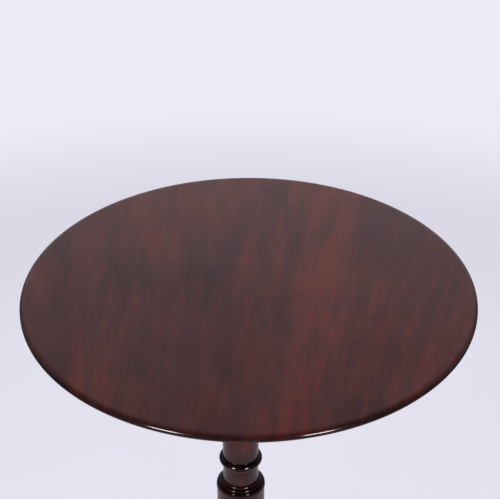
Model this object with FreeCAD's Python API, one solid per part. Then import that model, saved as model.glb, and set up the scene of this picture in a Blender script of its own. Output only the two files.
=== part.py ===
import FreeCAD, Part
import math
import os

from FreeCAD import Vector

# A tilt-top wine table in mahogany: a round top on a turned column with three swept legs.
# The top swings up on two pivots in a block on the column, and a brass bolt locks it down flat.
# Millimetres, +Z up. The origin is on the floor under the middle of the round top.
# +X is the pivot side, -X the bolt side and -Y the front.

# Whole table
TABLE_HEIGHT = 711.0
COLUMN_SHIFT = 9.7

# Clearances
GLUE_GAP = 0.05
RUNNING_CLEARANCE = 0.05
SLIDE_CLEARANCE = 0.2
SEAT_CLEARANCE = 0.3
SIDE_CLEARANCE = 0.4
CUT_OVERRUN = 5.0

# Round top: full thickness in the middle, bevelled underneath to a thin rounded edge
TOP_DIAMETER = 508.0
TOP_THICKNESS = 15.0
TOP_EDGE_THICKNESS = 9.4
TOP_EDGE_UPPER_ROUND = 4.6
TOP_EDGE_LOWER_ROUND = 4.2
TOP_BEVEL_WIDTH = 46.0

# Tilt block on the column's tenon, and its pivots
BLOCK_THICKNESS = 22.0
BLOCK_WIDTH = 76.0
BLOCK_FREE_LENGTH = 48.0
PIVOT_OFFSET = 30.0
PIVOT_DIAMETER = 12.0
PIVOT_GRIP = 20.0
PIVOT_REACH = 18.0
PIVOT_END_CHAMFER = 1.0
TENON_DIAMETER = 28.0
WEDGE_DEPTH = 17.0
WEDGE_THICK_END = 3.0
WEDGE_THIN_END = 1.0

# Bearers under the top
BEARER_LENGTH = 380.0
BEARER_WIDTH = 25.0
BEARER_HEIGHT = 24.0
BEARER_END_HEIGHT = 10.0
BEARER_TAPER_LENGTH = 80.0
BEARER_CHAMFER = 1.6
BEARER_SCREW_INNER = 88.0
BEARER_SCREW_OUTER = 134.0
BEARER_SCREW_BITE = 9.0

# Turned column, from the hub up; the shaft takes up what height is left
HUB_BOTTOM = 182.0
HUB_DIAMETER = 66.0
HUB_HEIGHT = 116.0
HUB_SHOULDER_ROUND = 4.0
HUB_FILLET_HEIGHT = 3.0
HUB_FILLET_DIAMETER = 56.0
BASE_RING_HEIGHT = 11.0
BASE_RING_DIAMETER = 68.0
BASE_COVE_HEIGHT = 8.0
BASE_COVE_HOLLOW = 1.6
BARREL_DIAMETER = 57.2
BARREL_HEIGHT = 105.8
BIG_RING_HEIGHT = 10.2
BIG_RING_DIAMETER = 58.6
BIG_RING_SWELL = 1.0
MIDDLE_RING_HEIGHT = 3.8
MIDDLE_RING_DIAMETER = 52.2
SMALL_RING_HEIGHT = 3.7
SMALL_RING_DIAMETER = 47.6
SMALL_RING_SWELL = 1.4
NECK_HEIGHT = 23.3
NECK_DIAMETER = 43.0
NECK_HOLLOW = 0.5
BEAD_HEIGHT = 10.3
BEAD_DIAMETER = 51.2
SHAFT_BOTTOM_DIAMETER = 42.6
SHAFT_TOP_DIAMETER = 36.0
SHAFT_HOLLOW = 0.3
CAP_COVE_HEIGHT = 9.0
CAP_COVE_HOLLOW = 1.8
CAP_RING_HEIGHT = 9.0
CAP_RING_DIAMETER = 56.0
CAP_RING_SWELL = 3.6

# Legs: a sliding dovetail at the hub, a swept body and a turned pad foot
LEG_NAMES = ("leg_left", "leg_front", "leg_back")
LEG_REACH = 205.0
LEG_SHOULDER_HEIGHT = 104.0
LEG_THICKNESS = 28.0
LEG_ANKLE_DEPTH = 20.0
LEG_ROOT = 8.0
TONGUE_DEPTH = 13.0
TONGUE_WIDE = 17.0
TONGUE_NARROW = 11.0
TONGUE_HEIGHT = 88.0
FOOT_DIAMETER = 48.0
FOOT_BASE_DIAMETER = 38.0
FOOT_HEIGHT = 15.0
FOOT_NECK_DIAMETER = 22.0

# Side view of a leg's body, hub to ankle. Runs are shares of the way from the hub's face to the foot's
# middle, upper rises of the shoulder's top, lower rises of the hub's underside, thicknesses of
# LEG_THICKNESS, and corners of the section's smaller side.
LEG_BODY_SHARES = (
    {"upper": (0.000, 1.000), "lower": (0.000, 1.000), "thickness": 1.00, "corner": 0.12},
    {"upper": (0.180, 0.979), "lower": (0.145, 1.000), "thickness": 1.00, "corner": 0.16},
    {"upper": (0.372, 0.902), "lower": (0.297, 0.967), "thickness": 0.96, "corner": 0.24},
    {"upper": (0.527, 0.769), "lower": (0.427, 0.846), "thickness": 0.88, "corner": 0.31},
    {"upper": (0.640, 0.608), "lower": (0.535, 0.670), "thickness": 0.79, "corner": 0.36},
    {"upper": (0.721, 0.446), "lower": (0.616, 0.484), "thickness": 0.72, "corner": 0.39},
    {"upper": (0.797, 0.294), "lower": (0.698, 0.297), "thickness": 0.68, "corner": 0.41},
    {"upper": (0.895, 0.168), "lower": (0.802, 0.148), "thickness": 0.68, "corner": 0.42},
    {"upper": (1.023, 0.087), "lower": (0.919, 0.066), "thickness": 0.72, "corner": 0.42},
)
LEG_END_LEVEL_SHARE = 0.5
LEG_END_TOE_SHARE = 0.5
FOOT_WIDEST_SHARE = 0.5
FOOT_BULGE_SHARE = 0.3

# Three-armed iron plate let into the hub and legs from below
PLATE_THICKNESS = 2.0
PLATE_DISC_DIAMETER = 58.0
PLATE_ARM_WIDTH = 20.0
PLATE_ARM_REACH = 72.0
PLATE_SCREW_INSET = 10.0
HUB_SCREW_SHARE = 0.66

# Brass bolt under the top and its keeper in the end of the block
CATCH_PLATE_LENGTH = 64.0
CATCH_PLATE_WIDTH = 38.0
CATCH_PLATE_THICKNESS = 2.5
CATCH_PLATE_CORNER = 4.0
CATCH_PLATE_GAP = 3.0
CATCH_SCREW_INSET = 6.0
GUIDE_LENGTH = 9.0
GUIDE_WALL = 2.2
GUIDE_INSET = 5.0
BOLT_WIDTH = 12.0
BOLT_THICKNESS = 4.5
BOLT_TRAVEL = 8.0
BOLT_REST_GAP = 1.5
BOLT_NOSE_CHAMFER = 1.2
KNOB_DIAMETER = 10.0
KNOB_NECK_DIAMETER = 5.0
KNOB_NECK_LENGTH = 5.0
KNOB_PIN_DIAMETER = 3.2
KNOB_STOP_GAP = 4.0
KEEPER_WIDTH = 40.0
KEEPER_HEIGHT = 15.0
KEEPER_THICKNESS = 2.0
KEEPER_SCREW_INSET = 6.0
MORTISE_END_GAP = 1.0

# Countersunk screws: head diameter, shank diameter, length
LARGE_SCREW_HEAD = 8.0
LARGE_SCREW_SHANK = 4.2
LARGE_SCREW_LENGTH = 25.0
SMALL_SCREW_HEAD = 5.0
SMALL_SCREW_SHANK = 2.6
SMALL_SCREW_LENGTH = 11.0
SCREW_SLOT_WIDTH_SHARE = 0.14
SCREW_SLOT_DEPTH_SHARE = 0.35
SCREW_TIP_SHARE = 0.18

# Places worked out from the sizes above
UP = Vector(0, 0, 1)
DOWN = Vector(0, 0, -1)
TOP_RADIUS = TOP_DIAMETER / 2
TOP_UNDERSIDE = TABLE_HEIGHT - TOP_THICKNESS
COLUMN_X = -COLUMN_SHIFT
COLUMN_AXIS = Vector(COLUMN_X, 0, 0)
BLOCK_TOP = TOP_UNDERSIDE - SEAT_CLEARANCE
BLOCK_BOTTOM = BLOCK_TOP - BLOCK_THICKNESS
BLOCK_END_X = COLUMN_X - BLOCK_FREE_LENGTH
PIVOT_X = COLUMN_X + PIVOT_OFFSET
PIVOT_Z = BLOCK_TOP - BLOCK_THICKNESS / 2
BEARER_INNER_Y = BLOCK_WIDTH / 2 + SIDE_CLEARANCE
HUB_RADIUS = HUB_DIAMETER / 2
LEG_TOP = HUB_BOTTOM + LEG_SHOULDER_HEIGHT
LEG_ANGLES = {
    name: math.degrees(math.pi + math.tau * index / len(LEG_NAMES))
    for index, name in enumerate(LEG_NAMES)
}
PLATE_TOP = HUB_BOTTOM + PLATE_THICKNESS
CATCH_PLATE_RIGHT = BLOCK_END_X - CATCH_PLATE_GAP
CATCH_PLATE_LEFT = CATCH_PLATE_RIGHT - CATCH_PLATE_LENGTH
CATCH_PLATE_BOTTOM = TOP_UNDERSIDE - CATCH_PLATE_THICKNESS
BOLT_TOP = CATCH_PLATE_BOTTOM - SLIDE_CLEARANCE
BOLT_BOTTOM = BOLT_TOP - BOLT_THICKNESS
BOLT_NOSE_X = BLOCK_END_X - BOLT_REST_GAP
BOLT_TAIL_X = CATCH_PLATE_LEFT
GUIDE_LEFT_X = CATCH_PLATE_LEFT + GUIDE_INSET
GUIDE_RIGHT_X = CATCH_PLATE_RIGHT - GUIDE_INSET - GUIDE_LENGTH
KNOB_X = GUIDE_LEFT_X + GUIDE_LENGTH + KNOB_STOP_GAP + KNOB_DIAMETER / 2


class Outline:
    """A closed outline in the XZ plane, drawn edge by edge, that is spun or extruded into a solid."""

    def __init__(self, x, z):
        self.start = Vector(x, 0, z)
        self.here = self.start
        self.edges = []

    def line(self, x, z):
        """Draw a straight edge to (x, z)."""
        end = Vector(x, 0, z)
        self.edges.append(Part.LineSegment(self.here, end).toShape())
        self.here = end
        return self

    def arc(self, through, x, z):
        """Draw an arc to (x, z) through a point of the arc."""
        end = Vector(x, 0, z)
        self.edges.append(Part.Arc(self.here, Vector(through[0], 0, through[1]), end).toShape())
        self.here = end
        return self

    def swell(self, x, z, bulge):
        """Draw an arc up to (x, z) whose middle stands proud by bulge, or hollow where it is negative."""
        middle = ((self.here.x + x) / 2 + bulge, (self.here.z + z) / 2)
        return self.arc(middle, x, z)

    def corner_round(self, x, z, centre):
        """Draw a quarter circle to (x, z) about the given centre."""
        middle = Vector(centre[0], 0, centre[1])
        start_arm = self.here - middle
        end_arm = Vector(x, 0, z) - middle
        half_way = start_arm + end_arm
        through = middle + half_way * (start_arm.Length / half_way.Length)
        return self.arc((through.x, through.z), x, z)

    def face(self):
        """Close the outline and return it as a face."""
        self.line(self.start.x, self.start.z)
        return Part.Face(Part.Wire(self.edges))

    def spun(self):
        """Spin the outline once round the Z axis."""
        return self.face().revolve(Vector(0, 0, 0), UP, 360)

    def extruded(self, y_low, y_high):
        """Extrude the outline from y_low to y_high."""
        face = self.face()
        face.translate(Vector(0, y_low, 0))
        return face.extrude(Vector(0, y_high - y_low, 0))


def box(low, high):
    """A box between two corners given as (x, y, z)."""
    size = [b - a for a, b in zip(low, high)]
    return Part.makeBox(*size, Vector(*low))


def turned_about(shape, degrees, axis_point):
    """A copy of the shape turned about a vertical axis."""
    copy = shape.copy()
    copy.rotate(axis_point, UP, degrees)
    return copy


def pointed(shape, place, direction):
    """A copy of a shape made along +Z from the origin, moved to a place and turned to a direction."""
    copy = shape.copy()
    copy.Placement = FreeCAD.Placement(place, FreeCAD.Rotation(UP, direction))
    return copy


class Screw:
    """A slotted countersunk wood screw and the hole that takes it."""

    def __init__(self, head, shank, length):
        self.head_radius = head / 2
        self.shank_radius = shank / 2
        self.length = length
        self.head_height = self.head_radius - self.shank_radius

    def at(self, place, direction):
        """The screw with its head's face at a place, driven in a direction."""
        tip_length = self.length * SCREW_TIP_SHARE
        body = (
            Outline(0, 0)
            .line(self.head_radius, 0)
            .line(self.shank_radius, self.head_height)
            .line(self.shank_radius, self.length - tip_length)
            .line(0, self.length)
            .spun()
        )
        slot_half = self.head_radius * SCREW_SLOT_WIDTH_SHARE
        slot_depth = self.head_height * SCREW_SLOT_DEPTH_SHARE
        slot = box(
            (-slot_half, -self.head_radius, 0),
            (slot_half, self.head_radius, slot_depth),
        )
        return pointed(body.cut(slot), place, direction)

    def hole(self, place, direction, bore_out=CUT_OVERRUN):
        """The hole for that screw, bored out in front of its head."""
        head_radius = self.head_radius + GLUE_GAP
        shank_radius = self.shank_radius + GLUE_GAP
        hole = (
            Outline(0, -bore_out)
            .line(head_radius, -bore_out)
            .line(head_radius, 0)
            .line(shank_radius, self.head_height)
            .line(shank_radius, self.length + GLUE_GAP)
            .line(0, self.length + GLUE_GAP)
            .spun()
        )
        return pointed(hole, place, direction)


LARGE_SCREW = Screw(LARGE_SCREW_HEAD, LARGE_SCREW_SHANK, LARGE_SCREW_LENGTH)
SMALL_SCREW = Screw(SMALL_SCREW_HEAD, SMALL_SCREW_SHANK, SMALL_SCREW_LENGTH)


def bearer_screw_places():
    """Head places of the screws that hold both bearers to the top."""
    level = TOP_UNDERSIDE + BEARER_SCREW_BITE - LARGE_SCREW_LENGTH
    middle_y = BEARER_INNER_Y + BEARER_WIDTH / 2
    return [
        Vector(side_x * distance, side_y * middle_y, level)
        for side_y in (-1, 1)
        for side_x in (-1, 1)
        for distance in (BEARER_SCREW_INNER, BEARER_SCREW_OUTER)
    ]


def catch_screw_places():
    """Head places of the four screws in the catch plate's corners."""
    y = CATCH_PLATE_WIDTH / 2 - CATCH_SCREW_INSET
    return [
        Vector(x, side * y, CATCH_PLATE_BOTTOM)
        for x in (CATCH_PLATE_LEFT + CATCH_SCREW_INSET, CATCH_PLATE_RIGHT - CATCH_SCREW_INSET)
        for side in (-1, 1)
    ]


def keeper_screw_places():
    """Head places of the two screws that hold the keeper in the end of the block."""
    y = KEEPER_WIDTH / 2 - KEEPER_SCREW_INSET
    return [Vector(BLOCK_END_X, side * y, BLOCK_TOP - KEEPER_HEIGHT / 2) for side in (-1, 1)]


def plate_screw_places():
    """Head places of the screws in the iron plate: one in each leg, and one in the hub between legs."""
    arm = Vector(PLATE_ARM_REACH - PLATE_SCREW_INSET, 0, HUB_BOTTOM)
    between = Vector(-HUB_RADIUS * HUB_SCREW_SHARE, 0, HUB_BOTTOM)
    return [
        COLUMN_AXIS + FreeCAD.Rotation(UP, degrees).multVec(place)
        for degrees in LEG_ANGLES.values()
        for place in (arm, between)
    ]


def screws(size, places, direction):
    """A group of separate screws, all driven the same way."""
    return Part.makeCompound([size.at(place, direction) for place in places])


def drilled(shape, size, places, direction, bore_out=CUT_OVERRUN):
    """The shape with a hole for each screw."""
    return shape.cut([size.hole(place, direction, bore_out) for place in places])


def table_top():
    """The round board, with a rounded edge and a bevel underneath."""
    edge_bottom = TABLE_HEIGHT - TOP_EDGE_THICKNESS
    upper = TOP_EDGE_UPPER_ROUND
    lower = TOP_EDGE_LOWER_ROUND
    board = (
        Outline(0, TOP_UNDERSIDE)
        .line(TOP_RADIUS - TOP_BEVEL_WIDTH, TOP_UNDERSIDE)
        .line(TOP_RADIUS - lower, edge_bottom)
        .corner_round(TOP_RADIUS, edge_bottom + lower, (TOP_RADIUS - lower, edge_bottom + lower))
        .line(TOP_RADIUS, TABLE_HEIGHT - upper)
        .corner_round(TOP_RADIUS - upper, TABLE_HEIGHT, (TOP_RADIUS - upper, TABLE_HEIGHT - upper))
        .line(0, TABLE_HEIGHT)
        .spun()
    )
    board = drilled(board, LARGE_SCREW, bearer_screw_places(), UP)
    return drilled(board, SMALL_SCREW, catch_screw_places(), UP)


def bearer(side):
    """One bearer: a bar across the grain, thinned to its ends, with a bearing hole for its pivot pin."""
    half = BEARER_LENGTH / 2
    bottom = TOP_UNDERSIDE - BEARER_HEIGHT
    end_bottom = TOP_UNDERSIDE - BEARER_END_HEIGHT
    inner = side * BEARER_INNER_Y
    outer = side * (BEARER_INNER_Y + BEARER_WIDTH)
    bar = (
        Outline(-half, TOP_UNDERSIDE)
        .line(-half, end_bottom)
        .line(BEARER_TAPER_LENGTH - half, bottom)
        .line(half - BEARER_TAPER_LENGTH, bottom)
        .line(half, end_bottom)
        .line(half, TOP_UNDERSIDE)
        .extruded(inner, outer)
    )
    lower_edges = [e for e in bar.Edges if e.BoundBox.ZMax < end_bottom + GLUE_GAP]
    bar = bar.makeChamfer(BEARER_CHAMFER, lower_edges)
    bearing = Part.makeCylinder(
        PIVOT_DIAMETER / 2 + RUNNING_CLEARANCE,
        CUT_OVERRUN + PIVOT_REACH + SEAT_CLEARANCE,
        Vector(PIVOT_X, inner - side * CUT_OVERRUN, PIVOT_Z),
        Vector(0, side, 0),
    )
    return drilled(bar.cut(bearing), LARGE_SCREW, bearer_screw_places(), UP, BEARER_HEIGHT)


def pivot_pin(side):
    """One pivot pin, glued into the block's side and turning in a bearer."""
    radius = PIVOT_DIAMETER / 2
    length = PIVOT_GRIP + SIDE_CLEARANCE + PIVOT_REACH
    pin = (
        Outline(0, 0)
        .line(radius, 0)
        .line(radius, length - PIVOT_END_CHAMFER)
        .line(radius - PIVOT_END_CHAMFER, length)
        .line(0, length)
        .spun()
    )
    inner_end = Vector(PIVOT_X, side * (BLOCK_WIDTH / 2 - PIVOT_GRIP), PIVOT_Z)
    return pointed(pin, inner_end, Vector(0, side, 0))


def bolt_way(x_low, x_high):
    """The passage that the bolt slides in, from x_low to x_high."""
    half = BOLT_WIDTH / 2 + SLIDE_CLEARANCE
    return box(
        (x_low, -half, BOLT_BOTTOM - SLIDE_CLEARANCE),
        (x_high, half, BOLT_TOP + SLIDE_CLEARANCE),
    )


def tilt_block():
    """The block on the column: rounded over at the pivots, square below them to stop the top upright."""
    radius = BLOCK_THICKNESS / 2
    half = BLOCK_WIDTH / 2
    block = (
        Outline(BLOCK_END_X, BLOCK_BOTTOM)
        .line(PIVOT_X + radius, BLOCK_BOTTOM)
        .line(PIVOT_X + radius, PIVOT_Z)
        .corner_round(PIVOT_X, BLOCK_TOP, (PIVOT_X, PIVOT_Z))
        .line(BLOCK_END_X, BLOCK_TOP)
        .extruded(-half, half)
    )
    tenon_hole = Part.makeCylinder(
        TENON_DIAMETER / 2 + GLUE_GAP,
        BLOCK_THICKNESS + CUT_OVERRUN * 2,
        COLUMN_AXIS + UP * (BLOCK_BOTTOM - CUT_OVERRUN),
    )
    pin_holes = [
        Part.makeCylinder(
            PIVOT_DIAMETER / 2 + GLUE_GAP,
            PIVOT_GRIP + GLUE_GAP + CUT_OVERRUN,
            Vector(PIVOT_X, side * (half - PIVOT_GRIP - GLUE_GAP), PIVOT_Z),
            Vector(0, side, 0),
        )
        for side in (-1, 1)
    ]
    keeper_half = KEEPER_WIDTH / 2 + GLUE_GAP
    keeper_seat = box(
        (BLOCK_END_X - CUT_OVERRUN, -keeper_half, BLOCK_TOP - KEEPER_HEIGHT - GLUE_GAP),
        (BLOCK_END_X + KEEPER_THICKNESS + GLUE_GAP, keeper_half, BLOCK_TOP + CUT_OVERRUN),
    )
    mortise = bolt_way(BLOCK_END_X, BOLT_NOSE_X + BOLT_TRAVEL + MORTISE_END_GAP)
    block = block.cut([tenon_hole, *pin_holes, keeper_seat, mortise])
    return drilled(block, SMALL_SCREW, keeper_screw_places(), Vector(1, 0, 0))


def keeper_plate():
    """The slotted brass plate, flush in the end of the block, that the bolt enters."""
    half = KEEPER_WIDTH / 2
    plate = box(
        (BLOCK_END_X, -half, BLOCK_TOP - KEEPER_HEIGHT),
        (BLOCK_END_X + KEEPER_THICKNESS, half, BLOCK_TOP),
    )
    slot = bolt_way(BLOCK_END_X - CUT_OVERRUN, BLOCK_END_X + KEEPER_THICKNESS + CUT_OVERRUN)
    return drilled(plate.cut(slot), SMALL_SCREW, keeper_screw_places(), Vector(1, 0, 0))


def wedge_shape(gap):
    """The tapered wedge in the tenon's end, grown by a gap all round."""
    thick = WEDGE_THICK_END / 2 + gap
    thin = WEDGE_THIN_END / 2 + gap
    bottom = BLOCK_TOP - WEDGE_DEPTH - gap
    half = TENON_DIAMETER / 2
    wedge = (
        Outline(-thin, bottom)
        .line(thin, bottom)
        .line(thick, BLOCK_TOP)
        .line(-thick, BLOCK_TOP)
        .extruded(-half, half)
    )
    wedge.translate(COLUMN_AXIS)
    return wedge


def tenon_wedge():
    """The wedge, trimmed flush with the round tenon that it spreads."""
    tenon = Part.makeCylinder(TENON_DIAMETER / 2, BLOCK_TOP, COLUMN_AXIS)
    return wedge_shape(0).common(tenon)


def tongue_outline(gap):
    """Plan of a leg's dovetail tongue along +X from the column's axis, grown by a gap."""
    inner = HUB_RADIUS - TONGUE_DEPTH - gap
    outer = HUB_RADIUS + LEG_ROOT
    wide = TONGUE_WIDE / 2 + gap
    narrow = TONGUE_NARROW / 2 + gap
    corners = [
        Vector(inner, -wide, 0),
        Vector(HUB_RADIUS, -narrow, 0),
        Vector(outer, -narrow, 0),
        Vector(outer, narrow, 0),
        Vector(HUB_RADIUS, narrow, 0),
        Vector(inner, wide, 0),
    ]
    return Part.Face(Part.makePolygon([*corners, corners[0]]))


def tongue(low, high, gap):
    """A dovetail tongue along +X between two heights, grown sideways by a gap."""
    face = tongue_outline(gap)
    face.translate(UP * low)
    return face.extrude(UP * (high - low))


def leg_plate_blank(low, high, gap):
    """The three-armed plate's outline about the column, raised between two heights and grown by a gap."""
    height = high - low
    radius = PLATE_ARM_WIDTH / 2 + gap
    end = PLATE_ARM_REACH - PLATE_ARM_WIDTH / 2
    arm = box((0, -radius, low), (end, radius, high)).fuse(
        Part.makeCylinder(radius, height, Vector(end, 0, low))
    )
    arms = [turned_about(arm, degrees, Vector(0, 0, 0)) for degrees in LEG_ANGLES.values()]
    disc = Part.makeCylinder(PLATE_DISC_DIAMETER / 2 + gap, height, Vector(0, 0, low))
    blank = disc.fuse(arms).removeSplitter()
    blank.translate(COLUMN_AXIS)
    return blank


def plate_seat():
    """What the iron plate's recess removes from the hub and the legs."""
    return leg_plate_blank(HUB_BOTTOM - CUT_OVERRUN, PLATE_TOP + GLUE_GAP, GLUE_GAP)


def leg_plate():
    """The iron plate that ties the legs to the hub."""
    blank = leg_plate_blank(HUB_BOTTOM, PLATE_TOP, 0)
    return drilled(blank, LARGE_SCREW, plate_screw_places(), UP)


def column_blank():
    """The turned column with its tenon, before any joint is cut."""
    barrel = BARREL_DIAMETER / 2
    hub_top = HUB_BOTTOM + HUB_HEIGHT
    hub_fillet = HUB_FILLET_DIAMETER / 2
    base_ring_bottom = hub_top + HUB_FILLET_HEIGHT
    base_ring_top = base_ring_bottom + BASE_RING_HEIGHT
    barrel_bottom = base_ring_top + BASE_COVE_HEIGHT
    big_ring_bottom = barrel_bottom + BARREL_HEIGHT
    middle_ring_bottom = big_ring_bottom + BIG_RING_HEIGHT
    small_ring_bottom = middle_ring_bottom + MIDDLE_RING_HEIGHT
    neck_bottom = small_ring_bottom + SMALL_RING_HEIGHT
    bead_bottom = neck_bottom + NECK_HEIGHT
    shaft_bottom = bead_bottom + BEAD_HEIGHT
    cap_ring_bottom = BLOCK_BOTTOM - CAP_RING_HEIGHT
    shaft_top = cap_ring_bottom - CAP_COVE_HEIGHT

    big_root = BIG_RING_DIAMETER / 2 - BIG_RING_SWELL
    middle_root = MIDDLE_RING_DIAMETER / 2 - SMALL_RING_SWELL
    small_root = SMALL_RING_DIAMETER / 2 - SMALL_RING_SWELL
    neck = NECK_DIAMETER / 2
    shaft_low = SHAFT_BOTTOM_DIAMETER / 2
    shaft_high = SHAFT_TOP_DIAMETER / 2
    bead_swell = BEAD_DIAMETER / 2 - (neck + shaft_low) / 2
    cap_root = CAP_RING_DIAMETER / 2 - CAP_RING_SWELL
    tenon = TENON_DIAMETER / 2
    shoulder = HUB_RADIUS - HUB_SHOULDER_ROUND

    return (
        Outline(0, HUB_BOTTOM)
        .line(HUB_RADIUS, HUB_BOTTOM)
        .line(HUB_RADIUS, hub_top - HUB_SHOULDER_ROUND)
        .corner_round(shoulder, hub_top, (shoulder, hub_top - HUB_SHOULDER_ROUND))
        .line(hub_fillet, hub_top)
        .line(hub_fillet, base_ring_bottom)
        .swell(hub_fillet, base_ring_top, BASE_RING_DIAMETER / 2 - hub_fillet)
        .swell(barrel, barrel_bottom, -BASE_COVE_HOLLOW)
        .line(barrel, big_ring_bottom)
        .line(big_root, big_ring_bottom)
        .swell(big_root, middle_ring_bottom, BIG_RING_SWELL)
        .line(middle_root, middle_ring_bottom)
        .swell(middle_root, small_ring_bottom, SMALL_RING_SWELL)
        .line(small_root, small_ring_bottom)
        .swell(small_root, neck_bottom, SMALL_RING_SWELL)
        .line(neck, neck_bottom)
        .swell(neck, bead_bottom, -NECK_HOLLOW)
        .swell(shaft_low, shaft_bottom, bead_swell)
        .swell(shaft_high, shaft_top, -SHAFT_HOLLOW)
        .swell(cap_root, cap_ring_bottom, -CAP_COVE_HOLLOW)
        .swell(cap_root, BLOCK_BOTTOM, CAP_RING_SWELL)
        .line(tenon, BLOCK_BOTTOM)
        .line(tenon, BLOCK_TOP)
        .line(0, BLOCK_TOP)
        .spun()
    )


def column():
    """The column with its dovetail sockets, the plate's recess and the wedge's kerf cut."""
    blank = column_blank()
    blank.translate(COLUMN_AXIS)
    socket = tongue(HUB_BOTTOM - CUT_OVERRUN, HUB_BOTTOM + TONGUE_HEIGHT + GLUE_GAP, GLUE_GAP)
    socket.translate(COLUMN_AXIS)
    sockets = [turned_about(socket, degrees, COLUMN_AXIS) for degrees in LEG_ANGLES.values()]
    cut = blank.cut([*sockets, plate_seat(), wedge_shape(GLUE_GAP)])
    return drilled(cut, LARGE_SCREW, plate_screw_places(), UP)


def rounded_section(upper, lower, thickness, corner):
    """A rounded rectangle whose middle line runs from lower to upper in the XZ plane."""
    centre = (upper + lower) / 2
    depth = upper - lower
    along = depth / depth.Length
    across = Vector(0, 1, 0)
    half_depth = depth.Length / 2
    half_thickness = thickness / 2
    diagonal = corner * (1 - math.sqrt(0.5))

    def point(a, b):
        return centre + along * a + across * b

    quarters = []
    for sign_a, sign_b in ((1, 1), (1, -1), (-1, -1), (-1, 1)):
        on_side = point(sign_a * (half_depth - corner), sign_b * half_thickness)
        on_end = point(sign_a * half_depth, sign_b * (half_thickness - corner))
        middle = point(sign_a * (half_depth - diagonal), sign_b * (half_thickness - diagonal))
        order = (on_side, middle, on_end) if sign_a == sign_b else (on_end, middle, on_side)
        quarters.append(order)
    edges = []
    for index, quarter in enumerate(quarters):
        following = quarters[(index + 1) % len(quarters)]
        edges.append(Part.Arc(*quarter).toShape())
        edges.append(Part.LineSegment(quarter[2], following[0]).toShape())
    return Part.Wire(edges)


def leg_sections():
    """The sections that a leg's body is lofted through, from inside the hub to inside the foot."""
    run = LEG_REACH - HUB_RADIUS
    sections = []
    for share in LEG_BODY_SHARES:
        upper = Vector(HUB_RADIUS + run * share["upper"][0], 0, LEG_TOP * share["upper"][1])
        lower = Vector(HUB_RADIUS + run * share["lower"][0], 0, HUB_BOTTOM * share["lower"][1])
        thickness = LEG_THICKNESS * share["thickness"]
        corner = min(thickness, (upper - lower).Length) * share["corner"]
        sections.append((upper, lower, thickness, corner))
    upper, lower, thickness, corner = sections[0]
    inwards = Vector(-LEG_ROOT, 0, 0)
    first = (upper + inwards, lower + inwards, thickness, corner)
    toe = LEG_ANKLE_DEPTH * LEG_END_TOE_SHARE
    level = FOOT_HEIGHT * LEG_END_LEVEL_SHARE
    thickness, corner = sections[-1][2:]
    last = (
        Vector(LEG_REACH + toe, 0, level),
        Vector(LEG_REACH + toe - LEG_ANKLE_DEPTH, 0, level),
        thickness,
        corner,
    )
    return [rounded_section(*section) for section in [first, *sections, last]]


def pad_foot():
    """The turned pad at the end of a leg, on the Z axis."""
    radius = FOOT_DIAMETER / 2
    base = FOOT_BASE_DIAMETER / 2
    neck = FOOT_NECK_DIAMETER / 2
    widest = FOOT_HEIGHT * FOOT_WIDEST_SHARE
    lower_bulge = (radius - base) * FOOT_BULGE_SHARE
    upper_bulge = (FOOT_HEIGHT - widest) * FOOT_BULGE_SHARE
    return (
        Outline(0, 0)
        .line(base, 0)
        .swell(radius, widest, lower_bulge)
        .swell(neck, FOOT_HEIGHT, upper_bulge)
        .line(0, FOOT_HEIGHT)
        .spun()
    )


def leg(degrees):
    """One leg with its dovetail tongue, coped to the hub and let in for the iron plate."""
    body = Part.makeLoft(leg_sections(), True, False)
    hub = Part.makeCylinder(HUB_RADIUS + GLUE_GAP, TABLE_HEIGHT)
    foot = pad_foot()
    foot.translate(Vector(LEG_REACH, 0, 0))
    joint = tongue(PLATE_TOP, HUB_BOTTOM + TONGUE_HEIGHT, 0)
    whole = body.cut(hub).fuse([foot, joint])
    whole.translate(COLUMN_AXIS)
    whole = turned_about(whole, degrees, COLUMN_AXIS).cut(plate_seat())
    return drilled(whole, LARGE_SCREW, plate_screw_places(), UP)


def rounded_plate(x_low, x_high, half_width, z_low, z_high, corner):
    """A flat plate with rounded corners."""
    plate = box((x_low, -half_width, z_low), (x_high, half_width, z_high))
    upright = [e for e in plate.Edges if abs(e.tangentAt(e.FirstParameter).z) > 0.5]
    return plate.makeFillet(corner, upright)


def catch_plate():
    """The brass plate screwed under the top that carries the bolt."""
    plate = rounded_plate(
        CATCH_PLATE_LEFT,
        CATCH_PLATE_RIGHT,
        CATCH_PLATE_WIDTH / 2,
        CATCH_PLATE_BOTTOM,
        TOP_UNDERSIDE,
        CATCH_PLATE_CORNER,
    )
    return drilled(plate, SMALL_SCREW, catch_screw_places(), UP)


def catch_guides():
    """The two straps that hold the bolt up against its plate."""
    half = BOLT_WIDTH / 2 + SLIDE_CLEARANCE + GUIDE_WALL
    bottom = BOLT_BOTTOM - SLIDE_CLEARANCE - GUIDE_WALL
    straps = []
    for x in (GUIDE_LEFT_X, GUIDE_RIGHT_X):
        strap = box((x, -half, bottom), (x + GUIDE_LENGTH, half, CATCH_PLATE_BOTTOM))
        lower_edges = [
            e for e in strap.Edges
            if e.BoundBox.ZMax < bottom + GLUE_GAP and abs(e.tangentAt(e.FirstParameter).x) > 0.5
        ]
        strap = strap.makeFillet(GUIDE_WALL, lower_edges)
        straps.append(strap.cut(bolt_way(x - CUT_OVERRUN, x + GUIDE_LENGTH + CUT_OVERRUN)))
    return Part.makeCompound(straps)


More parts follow.
